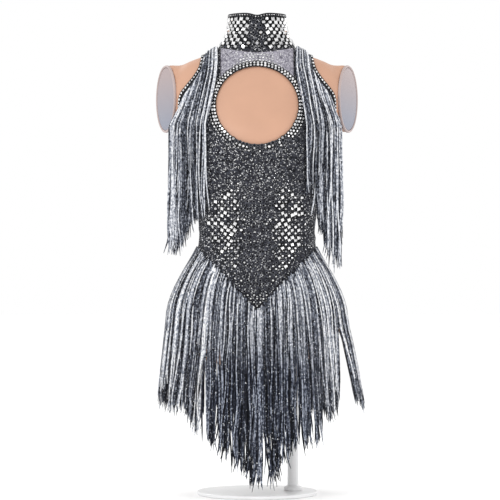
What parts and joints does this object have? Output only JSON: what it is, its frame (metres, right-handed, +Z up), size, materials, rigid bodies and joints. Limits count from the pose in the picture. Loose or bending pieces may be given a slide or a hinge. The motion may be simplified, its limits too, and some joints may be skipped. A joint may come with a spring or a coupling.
{
  "type": "rhinestone tassel bodysuit on dress form",
  "caption": "Sleeveless high-neck stretch bodysuit with a round keyhole, stones and tassel fringe at shoulders and hips, worn by a limbless dress form on a round base.",
  "frame": {"origin": "centre of the round base's underside, on the surface it stands on", "axes": "+Z up, the garment's front faces -Y, the wearer's right side is towards -X"},
  "size_m": [0.4082, 0.2733, 0.958],
  "materials": {
    "glitter_knit": "dark charcoal stretch knit with metallic glitter",
    "mauve_mesh": "mauve-grey stretch mesh with metallic glitter",
    "rhinestones": "faceted clear and smoke-grey stones, foil backed",
    "dark_tape": "dark charcoal elastic tape",
    "silver_fringe": "silver-grey twisted chainette fringe",
    "smoke_fringe": "smoke-grey twisted chainette fringe",
    "form_shell": "smooth tan satin plastic",
    "form_cap": "smooth mauve-grey plastic",
    "form_rim": "smooth pale beige plastic",
    "white_steel": "white powder-coated steel"
  },
  "bodies": {
    "root": {"front": "glitter_knit", "yoke": "mauve_mesh", "back_left": "glitter_knit", "back_right": "glitter_knit", "gusset": "glitter_knit", "collar": "glitter_knit", "collar_binding": "dark_tape", "keyhole_binding": "rhinestones", "armhole_binding_left": "rhinestones", "armhole_binding_right": "rhinestones", "leg_binding_left": "dark_tape", "leg_binding_right": "dark_tape", "shoulder_fringe_front_left": "silver_fringe", "shoulder_fringe_front_right": "silver_fringe", "shoulder_fringe_back_left": "silver_fringe", "shoulder_fringe_back_right": "silver_fringe", "hip_fringe_front": "smoke_fringe", "hip_fringe_back": "smoke_fringe", "form_torso": "form_shell", "form_neck_cap": "form_cap", "form_arm_cap_left": "form_cap", "form_arm_cap_right": "form_cap", "form_arm_rim_left": "form_rim", "form_arm_rim_right": "form_rim", "stand_socket": "white_steel", "stand_pole": "white_steel", "stand_base": "white_steel"}
  },
  "joints": []
}
